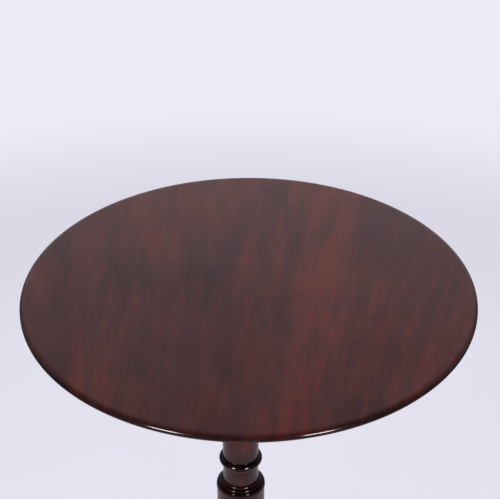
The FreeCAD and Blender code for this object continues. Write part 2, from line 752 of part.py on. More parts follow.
def catch_bolt():
    """The flat brass bolt, drawn back, with a chamfered nose and a hole for the knob's pin."""
    half = BOLT_WIDTH / 2
    bar = box((BOLT_TAIL_X, -half, BOLT_BOTTOM), (BOLT_NOSE_X, half, BOLT_TOP))
    nose_edges = [e for e in bar.Edges if e.BoundBox.XMin > BOLT_NOSE_X - GLUE_GAP]
    bar = bar.makeChamfer(BOLT_NOSE_CHAMFER, nose_edges)
    pin_hole = Part.makeCylinder(
        KNOB_PIN_DIAMETER / 2 + GLUE_GAP,
        BOLT_THICKNESS + CUT_OVERRUN * 2,
        Vector(KNOB_X, 0, BOLT_BOTTOM - CUT_OVERRUN),
    )
    return bar.cut(pin_hole)


def catch_knob():
    """The turned knob that hangs below the bolt, with its pin riveted through it."""
    radius = KNOB_DIAMETER / 2
    neck = KNOB_NECK_DIAMETER / 2
    pin = KNOB_PIN_DIAMETER / 2
    ball_top = KNOB_NECK_LENGTH
    ball_middle = ball_top + math.sqrt(radius * radius - neck * neck)
    ball_end = ball_middle + radius
    knob = (
        Outline(0, -BOLT_THICKNESS)
        .line(pin, -BOLT_THICKNESS)
        .line(pin, 0)
        .line(neck, 0)
        .line(neck, ball_top)
        .arc((radius, ball_middle), 0, ball_end)
        .spun()
    )
    return pointed(knob, Vector(KNOB_X, 0, BOLT_BOTTOM), DOWN)


def all_pieces():
    """Every piece of the table by its name."""
    pieces = {
        "table_top": table_top(),
        "bearer_front": bearer(-1),
        "bearer_back": bearer(1),
        "bearer_screws": screws(LARGE_SCREW, bearer_screw_places(), UP),
        "catch_plate": catch_plate(),
        "catch_guides": catch_guides(),
        "catch_plate_screws": screws(SMALL_SCREW, catch_screw_places(), UP),
        "catch_bolt": catch_bolt(),
        "catch_knob": catch_knob(),
        "tilt_block": tilt_block(),
        "pivot_pin_front": pivot_pin(-1),
        "pivot_pin_back": pivot_pin(1),
        "keeper_plate": keeper_plate(),
        "keeper_screws": screws(SMALL_SCREW, keeper_screw_places(), Vector(1, 0, 0)),
        "column": column(),
        "tenon_wedge": tenon_wedge(),
        "leg_plate": leg_plate(),
        "leg_plate_screws": screws(LARGE_SCREW, plate_screw_places(), UP),
    }
    for name, degrees in LEG_ANGLES.items():
        pieces[name] = leg(degrees)
    return pieces


def main():
    """Build every piece and write one STEP file for each."""
    os.makedirs("parts", exist_ok=True)
    for name, shape in all_pieces().items():
        volume = sum(solid.Volume for solid in shape.Solids)
        state = "valid" if shape.isValid() else "NOT VALID"
        print(f"{name}: {len(shape.Solids)} solid(s), {volume / 1000:.1f} cm3, {state}")
        shape.exportStep(f"parts/{name}.step")


main()
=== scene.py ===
"""The looks of a tilt-top wine table: French-polished mahogany, aged brass and black iron in a pale studio.

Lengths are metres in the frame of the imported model: +Z up, the origin on the floor under the middle of the
round top, +X towards the pivots and -Y towards the front.
"""
import logging
import math
from dataclasses import dataclass
from enum import Enum

import bmesh
import bpy
from mathutils import Euler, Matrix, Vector

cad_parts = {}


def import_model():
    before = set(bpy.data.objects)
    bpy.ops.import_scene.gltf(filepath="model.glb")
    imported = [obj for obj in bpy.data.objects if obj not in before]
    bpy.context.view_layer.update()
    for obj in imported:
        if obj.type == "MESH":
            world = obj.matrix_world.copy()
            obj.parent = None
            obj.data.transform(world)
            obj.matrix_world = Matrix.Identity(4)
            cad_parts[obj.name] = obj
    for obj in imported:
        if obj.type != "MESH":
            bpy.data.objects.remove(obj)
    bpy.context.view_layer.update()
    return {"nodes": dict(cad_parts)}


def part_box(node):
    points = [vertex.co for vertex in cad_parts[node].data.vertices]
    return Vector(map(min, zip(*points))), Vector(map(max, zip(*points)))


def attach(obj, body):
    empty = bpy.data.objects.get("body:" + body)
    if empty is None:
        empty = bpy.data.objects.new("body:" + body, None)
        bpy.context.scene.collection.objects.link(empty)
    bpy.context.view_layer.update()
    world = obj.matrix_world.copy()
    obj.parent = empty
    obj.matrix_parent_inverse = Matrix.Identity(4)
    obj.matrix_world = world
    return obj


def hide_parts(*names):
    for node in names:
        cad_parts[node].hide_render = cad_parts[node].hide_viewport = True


log = logging.getLogger("wine_table")

Colour = tuple[float, float, float]
Triple = tuple[float, float, float]
Span = tuple[float, float]
Socket = bpy.types.NodeSocket

# The first attribute holds real wear and a painted lit line; the second holds grime in hollows and painted
# shade.
WEAR_AND_PAINTED_LIGHT = "wear_and_painted_light"
GRIME_AND_PAINTED_SHADE = "grime_and_painted_shade"
MERGE_DISTANCE = 1e-6
ROUND_STEPS = 12
# Half-way up a quarter circle of radius 1, how far the circle stands outside its chord.
ROUND_BULGE = math.sqrt(0.75) - 0.5


class Polish(Enum):
    """How a wooden surface is finished, with the share of the grain's relief that the finish leaves."""

    FRENCH = 0.10
    WAXED = 0.50
    BARE = 1.00


class Graph:
    """A node tree with short calls that add nodes and join them."""

    def __init__(self, tree: bpy.types.NodeTree) -> None:
        """Start from an empty tree.

        Args:
            tree: The node tree to fill.
        """
        self.tree = tree
        self.tree.nodes.clear()

    def add(self, kind: str, **settings: object) -> bpy.types.Node:
        """Add a node.

        Args:
            kind: The node's type name.
            settings: Properties of the node to set.

        Returns:
            The new node.
        """
        node = self.tree.nodes.new(kind)
        for name, value in settings.items():
            setattr(node, name, value)
        return node

    def feed(self, socket: Socket, value: object) -> None:
        """Give an input socket a link or a fixed value.

        Args:
            socket: The input socket.
            value: An output socket to link, or the value to set.
        """
        if isinstance(value, bpy.types.NodeSocket):
            self.tree.links.new(value, socket)
        else:
            socket.default_value = value

    def placed(self, middle: Vector, turn: Euler) -> Socket:
        """Object coordinates seen from a piece's own middle and direction.

        Args:
            middle: The point that becomes the pattern's origin.
            turn: The turn of the pattern's axes.

        Returns:
            The vector socket of the turned coordinates.
        """
        coords = self.add("ShaderNodeTexCoord")
        mapping = self.add("ShaderNodeMapping", vector_type="TEXTURE")
        mapping.inputs["Location"].default_value = middle
        mapping.inputs["Rotation"].default_value = turn
        self.feed(mapping.inputs["Vector"], coords.outputs["Object"])
        return mapping.outputs["Vector"]

    def vector(self, operation: str, a: object, b: object) -> Socket:
        """Combine two vectors.

        Args:
            operation: The vector operation's name.
            a: The first vector or socket.
            b: The second vector or socket.

        Returns:
            The resulting vector socket.
        """
        node = self.add("ShaderNodeVectorMath", operation=operation)
        self.feed(node.inputs[0], a)
        self.feed(node.inputs[1], b)
        return node.outputs["Vector"]

    def number(self, operation: str, a: object, b: object = 0.0) -> Socket:
        """Combine two numbers, or change one.

        Args:
            operation: The arithmetic operation's name.
            a: The first number or socket.
            b: The second number or socket, where the operation has one.

        Returns:
            The resulting value socket.
        """
        node = self.add("ShaderNodeMath", operation=operation)
        self.feed(node.inputs[0], a)
        self.feed(node.inputs[1], b)
        return node.outputs["Value"]

    def noise(self, vector: Socket, repeats: Triple, detail: float = 2.0, roughness: float = 0.5) -> Socket:
        """Soft noise that repeats a given number of times per metre along each axis.

        Args:
            vector: The coordinates.
            repeats: Repeats per metre across, along and through the pattern.
            detail: Octaves of finer noise.
            roughness: Strength of the finer octaves.

        Returns:
            The noise value, about 0 to 1.
        """
        node = self.add("ShaderNodeTexNoise", noise_dimensions="3D")
        node.inputs["Scale"].default_value = 1.0
        node.inputs["Detail"].default_value = detail
        node.inputs["Roughness"].default_value = roughness
        self.feed(node.inputs["Vector"], self.vector("MULTIPLY", vector, repeats))
        return node.outputs["Fac"]

    def remap(self, value: Socket, low: float, high: float, to_low: float = 0.0,
              to_high: float = 1.0) -> Socket:
        """Stretch a range of values smoothly to another range, clamped.

        Args:
            value: The value socket.
            low: The value that becomes to_low.
            high: The value that becomes to_high.
            to_low: The result at low.
            to_high: The result at high.

        Returns:
            The stretched value.
        """
        node = self.add("ShaderNodeMapRange", interpolation_type="SMOOTHSTEP")
        self.feed(node.inputs["Value"], value)
        node.inputs["From Min"].default_value = low
        node.inputs["From Max"].default_value = high
        node.inputs["To Min"].default_value = to_low
        node.inputs["To Max"].default_value = to_high
        return node.outputs["Result"]

    def blend(self, factor: object, a: object, b: object) -> Socket:
        """Blend two colours.

        Args:
            factor: The share of the second colour.
            a: The first colour or socket.
            b: The second colour or socket.

        Returns:
            The blended colour.
        """
        node = self.add("ShaderNodeMix", data_type="RGBA")
        self.feed(node.inputs["Factor"], factor)
        for socket, value in ((node.inputs["A"], a), (node.inputs["B"], b)):
            self.feed(socket, value if isinstance(value, bpy.types.NodeSocket) else (*value, 1.0))
        return node.outputs["Result"]

    def attribute(self, name: str) -> Socket:
        """A number painted on the piece's vertices, 0 where the piece has none."""
        node = self.add("ShaderNodeAttribute", attribute_name=name)
        return node.outputs["Fac"]

    def bump(self, height: Socket, distance: float, strength: float) -> Socket:
        """Raise the surface by a height.

        Args:
            height: The height value.
            distance: The height of a value of 1, in metres.
            strength: The share of that height that shows.

        Returns:
            The bumped normal.
        """
        node = self.add("ShaderNodeBump")
        node.inputs["Distance"].default_value = distance
        node.inputs["Strength"].default_value = strength
        self.feed(node.inputs["Height"], height)
        return node.outputs["Normal"]


def new_material(name: str) -> tuple[bpy.types.Material, Graph, bpy.types.Node, bpy.types.Node]:
    """Make a material that holds one surface shader.

    Args:
        name: The material's name.

    Returns:
        The material, its graph, its surface shader and its output.
    """
    material = bpy.data.materials.new(name)
    material.use_nodes = True
    graph = Graph(material.node_tree)
    shader = graph.add("ShaderNodeBsdfPrincipled")
    output = graph.add("ShaderNodeOutputMaterial")
    graph.feed(output.inputs["Surface"], shader.outputs["BSDF"])
    return material, graph, shader, output


def darkened(colour: Colour, share: float) -> Colour:
    """The colour with only a share of its brightness."""
    red, green, blue = colour
    return red * share, green * share, blue * share


@dataclass(frozen=True)
class Grain:
    """Where a board's grain starts, which way it runs and how much it fans out per metre."""

    middle: Vector
    direction: Vector
    fan: float = 0.0

    def turn(self) -> Euler:
        """The turn that brings the pattern's Y axis onto the grain."""
        return Vector((0.0, 1.0, 0.0)).rotation_difference(self.direction).to_euler()


@dataclass(frozen=True)
class WoodFinish:
    """A wood with its figure, pores and polish.

    Repeats are per metre across, along and through the grain. A range is the stretch of a value over which
    its effect goes from none to full.
    """

    name: str
    shade: Colour
    body: Colour
    streak: Colour
    # The colour of rubbed places, and of the painted lit line under the bead.
    worn_and_lit: Colour
    polish: Polish
    roughness: float
    roughness_spread: float = 0.10
    wander_repeats: Triple = (3.0, 2.0, 3.0)
    wander: float = 0.014
    ribbon_repeats: Triple = (14.0, 3.0, 14.0)
    ribbon_range: Span = (0.30, 0.70)
    ribbon_share: float = 0.36
    band_repeats: Triple = (80.0, 13.0, 80.0)
    band_range: Span = (0.28, 0.72)
    band_share: float = 0.34
    fibre_repeats: Triple = (300.0, 18.0, 300.0)
    fibre_range: Span = (0.20, 0.80)
    fibre_share: float = 0.30
    fibre_gloss: float = 0.5
    fibre_height: float = 0.5
    heart: float = 0.0
    heart_reach: Span = (0.004, 0.040)
    streak_range: Span = (0.34, 0.90)
    cloud_repeats: Triple = (12.0, 9.0, 12.0)
    cloud_range: Span = (0.24, 0.54)
    ripple_repeats: Triple = (14.0, 85.0, 14.0)
    ripple_range: Span = (0.50, 0.75)
    ripple: float = 0.22
    pore_repeats: Triple = (900.0, 95.0, 900.0)
    pore_range: Span = (0.60, 0.74)
    pore_depth: float = 0.00006
    pore_stain: float = 0.45
    pore_brightness: float = 0.35
    patch_repeats: Triple = (38.0, 30.0, 38.0)
    rubbed_range: Span = (0.35, 0.65)
    rubbed_dulling: float = 0.35
    grime_and_shade_range: Span = (0.25, 0.55)
    grime_and_shade_least: float = 0.5
    grime_and_shade_brightness: float = 0.25
    grime_full: float = 0.9
    grime_roughness: float = 0.5
    smudge_repeats: Triple = (14.0, 9.0, 14.0)
    smudge_range: Span = (0.3, 0.7)

    def material(self, label: str, grain: Grain) -> bpy.types.Material:
        """Make the finish for one piece.

        Args:
            label: The piece's name.
            grain: Where the piece's grain starts and which way it runs.

        Returns:
            The material.
        """
        material, graph, shader, _ = new_material(f"{self.name}_{label}")
        coords = self.run(graph, grain)
        fibre = graph.remap(graph.noise(coords, self.fibre_repeats), *self.fibre_range)
        pore = graph.remap(graph.noise(coords, self.pore_repeats, detail=1.0), *self.pore_range)

        colour = self.figured(graph, coords, fibre)
        stain = graph.number("MULTIPLY", pore, self.pore_stain)
        colour = graph.blend(stain, colour, darkened(self.shade, self.pore_brightness))
        colour, roughness = self.aged(graph, coords, colour)
        graph.feed(shader.inputs["Base Color"], colour)

        dulling = graph.number("MULTIPLY", fibre, self.roughness_spread * self.fibre_gloss)
        graph.feed(shader.inputs["Roughness"], graph.number("ADD", roughness, dulling))
        height = graph.number("SUBTRACT", graph.number("MULTIPLY", fibre, self.fibre_height), pore)
        graph.feed(shader.inputs["Normal"], graph.bump(height, self.pore_depth, self.polish.value))
        return material

    def run(self, graph: Graph, grain: Grain) -> Socket:
        """Coordinates that follow the grain as it fans out and wanders.

        Args:
            graph: The material's graph.
            grain: Where the grain starts and which way it runs.

        Returns:
            The coordinates across, along and through the grain.
        """
        straight = graph.placed(grain.middle, grain.turn())
        split = graph.add("ShaderNodeSeparateXYZ")
        graph.feed(split.inputs["Vector"], straight)
        drift = graph.number("SUBTRACT", graph.noise(straight, self.wander_repeats, detail=1.0), 0.5)
        spread = graph.number("SUBTRACT", 1.0, graph.number("MULTIPLY", split.outputs["Y"], grain.fan))
        across = graph.number("MULTIPLY", split.outputs["X"], spread)
        joined = graph.add("ShaderNodeCombineXYZ")
        aside = graph.number("MULTIPLY", drift, self.wander)
        graph.feed(joined.inputs["X"], graph.number("ADD", across, aside))
        graph.feed(joined.inputs["Y"], split.outputs["Y"])
        graph.feed(joined.inputs["Z"], split.outputs["Z"])
        return joined.outputs["Vector"]

    def figured(self, graph: Graph, coords: Socket, fibre: Socket) -> Socket:
        """Colour the wood by its ribbons, bands, fibres, clouds and ripples.

        Args:
            graph: The material's graph.
            coords: The grain's coordinates.
            fibre: The fibres' value.

        Returns:
            The colour of the clean wood between its pores.
        """
        ribbon = graph.remap(graph.noise(coords, self.ribbon_repeats), *self.ribbon_range)
        band = graph.remap(graph.noise(coords, self.band_repeats), *self.band_range)
        clouding = graph.noise(coords, self.cloud_repeats, detail=3.0, roughness=0.55)
        rippling = graph.noise(coords, self.ripple_repeats, detail=1.0)

        figure = graph.number("MULTIPLY", ribbon, self.ribbon_share)
        for part, share in ((band, self.band_share), (fibre, self.fibre_share)):
            figure = graph.number("ADD", figure, graph.number("MULTIPLY", part, share))
        if self.heart:
            figure = graph.number("ADD", figure, self.heartwood(graph, coords))
        ground = graph.blend(graph.remap(clouding, *self.cloud_range), self.shade, self.body)
        colour = graph.blend(graph.remap(figure, *self.streak_range), ground, self.streak)
        return graph.blend(graph.remap(rippling, *self.ripple_range, 0.0, self.ripple), colour, self.shade)

    def heartwood(self, graph: Graph, coords: Socket) -> Socket:
        """A broad warm stripe along the middle of the pattern.

        Args:
            graph: The material's graph.
            coords: The grain's coordinates.

        Returns:
            What the stripe adds to the figure.
        """
        split = graph.add("ShaderNodeSeparateXYZ")
        graph.feed(split.inputs["Vector"], coords)
        aside = graph.number("ABSOLUTE", split.outputs["X"])
        return graph.remap(aside, *self.heart_reach, self.heart, 0.0)

    def aged(self, graph: Graph, coords: Socket, colour: Socket) -> tuple[Socket, Socket]:
        """Add rubbed edges, grime in hollows, painted shade and a painted lit line, and uneven gloss.

        Args:
            graph: The material's graph.
            coords: The grain's coordinates.
            colour: The clean wood's colour.

        Returns:
            The aged colour and the roughness.
        """
        patch = graph.noise(coords, self.patch_repeats, detail=3.0, roughness=0.6)
        # Rubbed wear, and the painted lit line under the bead, lighten the colour towards worn_and_lit.
        rubbed = graph.number("MULTIPLY", graph.attribute(WEAR_AND_PAINTED_LIGHT), graph.remap(patch, *self.rubbed_range))
        colour = graph.blend(rubbed, colour, self.worn_and_lit)
        # Grime, and painted shade on the top's edge and the column's rings, neck and bead, darken the colour
        # towards a dim shade colour.
        uneven = graph.remap(patch, *self.grime_and_shade_range, self.grime_and_shade_least, 1.0)
        grimy_and_shaded = graph.number("MULTIPLY", graph.attribute(GRIME_AND_PAINTED_SHADE), uneven)
        colour = graph.blend(grimy_and_shaded, colour, darkened(self.shade, self.grime_and_shade_brightness))

        smudge = graph.noise(coords, self.smudge_repeats, detail=3.0, roughness=0.65)
        glossiest = self.roughness - self.roughness_spread
        dullest = self.roughness + self.roughness_spread
        roughness = graph.remap(smudge, *self.smudge_range, glossiest, dullest)
        glazed = graph.remap(graph.attribute(GRIME_AND_PAINTED_SHADE), 0.0, self.grime_full, 1.0, self.grime_roughness)
        roughness = graph.number("MULTIPLY", roughness, glazed)
        dulled = graph.remap(rubbed, 0.0, 1.0, 0.0, self.rubbed_dulling)
        return colour, graph.number("ADD", roughness, dulled)


@dataclass(frozen=True)
class MetalFinish:
    """A metal with tarnish, fine scratches and brighter rubbed places."""

    name: str
    bright: Colour
    tarnish: Colour
    roughness: float
    tarnish_share: float
    tarnish_edge: float = 0.18
    tarnish_dulling: float = 0.25
    rust: Colour | None = None
    rust_repeats: Triple = (240.0, 240.0, 240.0)
    rust_range: Span = (0.58, 0.68)
    rust_metallic: float = 0.1
    patch_repeats: Triple = (90.0, 90.0, 90.0)
    scratch_repeats: Triple = (2600.0, 120.0, 2600.0)
    scratch_range: Span = (0.6, 0.8)
    scratch_shine: float = 0.3
    scratch_height: float = 0.3
    pit_depth: float = 0.00005
    pit_strength: float = 0.4

    def material(self) -> bpy.types.Material:
        """Make the finish.

        Returns:
            The material.
        """
        material, graph, shader, _ = new_material(self.name)
        coords = graph.placed(Vector(), Euler())
        patch = graph.noise(coords, self.patch_repeats, detail=4.0, roughness=0.65)
        scratch = graph.noise(coords, self.scratch_repeats, detail=1.0)
        edge = 1.0 - self.tarnish_share
        dull = graph.remap(patch, edge - self.tarnish_edge, edge + self.tarnish_edge)
        colour = graph.blend(dull, self.bright, self.tarnish)
        shine = graph.remap(scratch, *self.scratch_range, 0.0, self.scratch_shine)
        colour = graph.blend(shine, colour, self.bright)
        shader.inputs["Metallic"].default_value = 1.0
        if self.rust is not None:
            rusting = graph.noise(coords, self.rust_repeats, detail=3.0, roughness=0.6)
            fleck = graph.remap(rusting, *self.rust_range)
            colour = graph.blend(fleck, colour, self.rust)
            graph.feed(shader.inputs["Metallic"], graph.remap(fleck, 0.0, 1.0, 1.0, self.rust_metallic))
        graph.feed(shader.inputs["Base Color"], colour)
        rough = graph.remap(dull, 0.0, 1.0, self.roughness, self.roughness + self.tarnish_dulling)
        graph.feed(shader.inputs["Roughness"], rough)
        height = graph.number("ADD", patch, graph.number("MULTIPLY", scratch, self.scratch_height))
        graph.feed(shader.inputs["Normal"], graph.bump(height, self.pit_depth, self.pit_strength))
        return material


TOP_MAHOGANY = WoodFinish(
    name="top_mahogany",
    shade=(0.0205, 0.0060, 0.0061),
    body=(0.039, 0.0090, 0.0094),
    streak=(0.101, 0.0153, 0.0082),
    worn_and_lit=(0.150, 0.050, 0.022),
    polish=Polish.FRENCH,
    roughness=0.20,
    roughness_spread=0.04,
    wander=0.010,
    band_repeats=(60.0, 10.0, 60.0),
    fibre_repeats=(280.0, 22.0, 280.0),
    ripple_repeats=(70.0, 100.0, 70.0),
    ribbon_share=0.34,
    band_share=0.40,
    fibre_share=0.25,
    streak_range=(0.20, 1.30),
    ripple=0.28,
    heart=0.20,
)
STAND_MAHOGANY = WoodFinish(
    name="stand_mahogany",
    shade=(0.022, 0.0045, 0.0040),
    body=(0.044, 0.0075, 0.0065),
    streak=(0.115, 0.0160, 0.0080),
    worn_and_lit=(0.190, 0.045, 0.016),
    polish=Polish.FRENCH,
    roughness=0.12,
    roughness_spread=0.05,
    ribbon_repeats=(60.0, 6.0, 60.0),
    band_repeats=(190.0, 12.0, 190.0),
    cloud_repeats=(24.0, 12.0, 24.0),
    fibre_repeats=(420.0, 14.0, 420.0),
)
PLAIN_MAHOGANY = WoodFinish(
    name="plain_mahogany",
    shade=(0.046, 0.019, 0.011),
    body=(0.092, 0.040, 0.022),
    streak=(0.140, 0.064, 0.035),
    worn_and_lit=(0.200, 0.105, 0.060),
    polish=Polish.BARE,
    roughness=0.62,
    ribbon_repeats=(45.0, 3.0, 45.0),
)
DRY_MAHOGANY = WoodFinish(
    name="dry_mahogany",
    shade=(0.034, 0.0130, 0.0085),
    body=(0.062, 0.0230, 0.0140),
    streak=(0.100, 0.0400, 0.0230),
    worn_and_lit=(0.200, 0.105, 0.060),
    polish=Polish.BARE,
    roughness=0.52,
)
PALE_HARDWOOD = WoodFinish(
    name="pale_hardwood",
    shade=(0.180, 0.095, 0.045),
    body=(0.300, 0.175, 0.085),
    streak=(0.380, 0.240, 0.125),
    worn_and_lit=(0.450, 0.300, 0.160),
    polish=Polish.WAXED,
    roughness=0.45,
    ribbon_repeats=(120.0, 10.0, 120.0),
)
AGED_BRASS = MetalFinish(
    name="aged_brass",
    bright=(0.640, 0.420, 0.150),
    tarnish=(0.190, 0.115, 0.045),
    roughness=0.26,
    tarnish_share=0.50,
)
BLACK_IRON = MetalFinish(
    name="black_iron",
    bright=(0.110, 0.105, 0.100),
    tarnish=(0.035, 0.032, 0.030),
    roughness=0.45,
    tarnish_share=0.65,
    rust=(0.120, 0.045, 0.018),
)
DULL_STEEL = MetalFinish(
    name="dull_steel",
    bright=(0.300, 0.285, 0.270),
    tarnish=(0.090, 0.075, 0.062),
    roughness=0.35,
    tarnish_share=0.50,
    patch_repeats=(300.0, 300.0, 300.0),
)


class TurnedProfile:
    """Half of a turned piece: a chain of edges in the XZ plane, spun about an upright axis."""

    def __init__(self, radius: float, height: float) -> None:
        """Start the chain.

        Args:
            radius: Distance of the first point from the axis.
            height: Height of the first point.
        """
        self.mesh = bmesh.new()
        self.wear_and_painted_light = self.mesh.verts.layers.float.new(WEAR_AND_PAINTED_LIGHT)
        self.grime_and_painted_shade = self.mesh.verts.layers.float.new(GRIME_AND_PAINTED_SHADE)
        self.end = self.mesh.verts.new((radius, 0.0, height))

    def line(self, radius: float, height: float, wear_and_painted_light: float = 0.0, grime_and_painted_shade: float = 0.0,
             cuts: int = 0) -> None:
        """Draw a straight edge.

        Args:
            radius: Distance of its end from the axis.
            height: Height of its end.
            wear_and_painted_light: How rubbed its end is; on the line under the bead it paints light.
            grime_and_painted_shade: How grimy its end is; on the top's edge and the column's rings, neck and
                bead it paints shade.
            cuts: How many points divide it.
        """
        start = self.end.co.copy()
        finish = Vector((radius, 0.0, height))
        first_wear, first_grime = self.end[self.wear_and_painted_light], self.end[self.grime_and_painted_shade]
        for step in range(1, cuts + 2):
            share = step / (cuts + 1)
            made = bmesh.ops.extrude_vert_indiv(self.mesh, verts=[self.end])
            self.end = made["verts"][0]
            self.end.co = start.lerp(finish, share)
            self.end[self.wear_and_painted_light] = first_wear + (wear_and_painted_light - first_wear) * share
            self.end[self.grime_and_painted_shade] = first_grime + (grime_and_painted_shade - first_grime) * share

    def arc(self, radius: float, height: float, bulge: float, wear_and_painted_light: float = 0.0, grime_and_painted_shade: float = 0.0,
            crest_lightening: float = 1.0, steps: int = 10) -> None:
        """Draw an arc whose middle stands out from its chord by a bulge, or in where that is negative.

        Args:
            radius: Distance of its end from the axis.
            height: Height of its end.
            bulge: How far its middle stands out along the radius.
            wear_and_painted_light: How rubbed its middle is; the wear of its start fades out there.
            grime_and_painted_shade: The grime and painted shade of its end; its start keeps its own.
            crest_lightening: The share of the grime and painted shade that is gone from its middle, negative
                for more there.
            steps: How many edges it has.
        """
        first_wear, first_grime = self.end[self.wear_and_painted_light], self.end[self.grime_and_painted_shade]
        start = Vector((self.end.co.x, self.end.co.z))
        finish = Vector((radius, height))
        through = (start + finish) / 2 + Vector((bulge, 0.0))
        centre = circle_centre(start, through, finish)
        first_arm, middle_arm, last_arm = (point - centre for point in (start, through, finish))
        before = set(self.mesh.verts)
        made = bmesh.ops.spin(
            self.mesh, geom=[self.end], cent=(centre.x, 0.0, centre.y), axis=(0.0, 1.0, 0.0),
            angle=turn_between(first_arm, middle_arm) + turn_between(middle_arm, last_arm),
            steps=steps, use_merge=False,
        )
        self.end = next(item for item in made["geom_last"] if isinstance(item, bmesh.types.BMVert))
        added = [vert for vert in self.mesh.verts if vert not in before]
        for index, vert in enumerate(added, start=1):
            share = index / steps
            crest = math.sin(math.pi * share)
            vert[self.wear_and_painted_light] = max(wear_and_painted_light * crest, first_wear * (1.0 - 2.0 * share))
            vert[self.grime_and_painted_shade] = (first_grime + (grime_and_painted_shade - first_grime) * share) * (1.0 - crest_lightening * crest)

    def quarter_round(self, radius: float, height: float, grime_and_painted_shade: float = 0.0, crest_lightening: float = 0.0,
                      wear_and_painted_light: float = 0.0) -> None:
        """Draw a quarter circle that stands out from the axis.

        Args:
            radius: Distance of its end from the axis.
            height: Height of its end.
            grime_and_painted_shade: The grime and painted shade of its end.
            crest_lightening: The share of the grime and painted shade that is gone from its middle.
            wear_and_painted_light: How rubbed its middle is.
        """
        bulge = abs(height - self.end.co.z) * ROUND_BULGE
        self.arc(radius, height, bulge, wear_and_painted_light=wear_and_painted_light, grime_and_painted_shade=grime_and_painted_shade, crest_lightening=crest_lightening, steps=ROUND_STEPS)

    def spun(self, name: str, axis: Vector, steps: int) -> bpy.types.Object:
        """Spin the profile once round an upright axis.

        Args:
            name: The piece's name.
            axis: A point on the axis.
            steps: How many steps the turn has.

        Returns:
            The finished piece.
        """
        bmesh.ops.translate(self.mesh, verts=self.mesh.verts, vec=axis)
        bmesh.ops.spin(
            self.mesh, geom=[*self.mesh.verts, *self.mesh.edges], cent=axis, axis=(0.0, 0.0, 1.0),
            angle=math.tau, steps=steps, use_merge=True,
        )
        bmesh.ops.remove_doubles(self.mesh, verts=self.mesh.verts, dist=MERGE_DISTANCE)
        bmesh.ops.recalc_face_normals(self.mesh, faces=self.mesh.faces)
        return finished_piece(name, self.mesh)


def circle_centre(a: Vector, b: Vector, c: Vector) -> Vector:
    """The centre of the circle through three points of a plane.

    Args:
        a: The first point.
        b: The second point.
        c: The third point.

    Returns:
        The centre.
    """
    ab, ac = b - a, c - a
    twice_area = 2.0 * ab.cross(ac)
    across = Vector((
        ac.y * ab.length_squared - ab.y * ac.length_squared,
        ab.x * ac.length_squared - ac.x * ab.length_squared,
    ))
    return a + across / twice_area


def turn_between(start: Vector, finish: Vector) -> float:
    """The turn about +Y that brings one arm of the XZ plane onto another, by the short way."""
    return math.atan2(start.y * finish.x - start.x * finish.y, start.dot(finish))


def finished_piece(name: str, mesh: bmesh.types.BMesh, smooth_degrees: float = 35.0) -> bpy.types.Object:
    """Turn a finished bmesh into a smooth-shaded piece at the origin.

    Args:
        name: The piece's name.
        mesh: The bmesh, which is freed.
        smooth_degrees: Edges sharper than this stay crisp.

    Returns:
        The piece.
    """
    data = bpy.data.meshes.new(name)
    mesh.to_mesh(data)
    mesh.free()
    data.shade_smooth()
    data.set_sharp_from_angle(angle=math.radians(smooth_degrees))
    piece = bpy.data.objects.new(name, data)
    bpy.context.scene.collection.objects.link(piece)
    return piece


def dress(piece: bpy.types.Object, material: bpy.types.Material) -> None:
    """Give a piece one material all over.

    Args:
        piece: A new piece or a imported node.
        material: The material.
    """
    piece.data.materials.clear()
    piece.data.materials.append(material)
    log.info("dressed %s in %s", piece.name, material.name)


def stand_for(piece: bpy.types.Object, node: str, body: str) -> None:
    """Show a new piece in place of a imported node.

    Args:
        piece: The new piece.
        node: The node that it replaces.
        body: The body that it moves with.
    """
    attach(piece, body)
    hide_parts(node)
    log.info("built %s for %s, %d faces", piece.name, node, len(piece.data.polygons))


@dataclass
class TopBoard:
    """The round top: flat above, with a thin rounded edge and a bevel underneath.

    The wood's pattern has no end, and the depth of the cut says which slice of it the board shows.
    """

    edge_thickness: float = 0.0094
    # edge_painted_shade, rim_painted_shade and rim_shade_fade set the painted shade on the rounded edge.
    edge_painted_shade: float = 0.8
    upper_round: float = 0.0046
    lower_round: float = 0.0042
    rim_painted_shade: float = 0.15
    rim_shade_fade: float = 0.003
    bevel_width: float = 0.046
    bevel_grime: float = 0.3
    underside_facing: float = -0.9
    underside_cuts: int = 6
    bevel_cuts: int = 3
    face_cuts: int = 40
    turn_steps: int = 320
    heart_x: float = 0.09
    heart_y: float = 0.06
    cut_depth: float = 18.74
    grain_slant: float = math.radians(9.0)
    grain_fan: float = 0.85

    def build(self) -> None:
        """Build the board and dress it."""
        low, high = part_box("table_top")
        radius = high.x
        edge_bottom = high.z - self.edge_thickness
        profile = TurnedProfile(0.0, low.z)
        profile.line(radius - self.bevel_width, low.z, cuts=self.underside_cuts)
        profile.line(radius - self.lower_round, edge_bottom, grime_and_painted_shade=self.bevel_grime, cuts=self.bevel_cuts)
        # Painted shade: the rounded edge and arris are darkened through the grime attribute, which also
        # glosses them, and the darkening fades onto the flat.
        profile.quarter_round(radius, edge_bottom + self.lower_round, grime_and_painted_shade=self.edge_painted_shade)
        profile.line(radius, high.z - self.upper_round, grime_and_painted_shade=self.edge_painted_shade)
        profile.quarter_round(radius - self.upper_round, high.z, grime_and_painted_shade=self.rim_painted_shade)
        profile.line(radius - self.upper_round - self.rim_shade_fade, high.z)
        profile.line(0.0, high.z, cuts=self.face_cuts)
        board = profile.spun("top_board", Vector(), self.turn_steps)
        middle = Vector((self.heart_x, self.heart_y, high.z + self.cut_depth))
        direction = Vector((math.sin(self.grain_slant), math.cos(self.grain_slant), 0.0))
        grain = Grain(middle, direction, self.grain_fan)
        dress(board, TOP_MAHOGANY.material("board", grain))
        board.data.materials.append(DRY_MAHOGANY.material("underside", grain))
        for face in board.data.polygons:
            face.material_index = int(face.normal.z < self.underside_facing)
        stand_for(board, "table_top", "top")


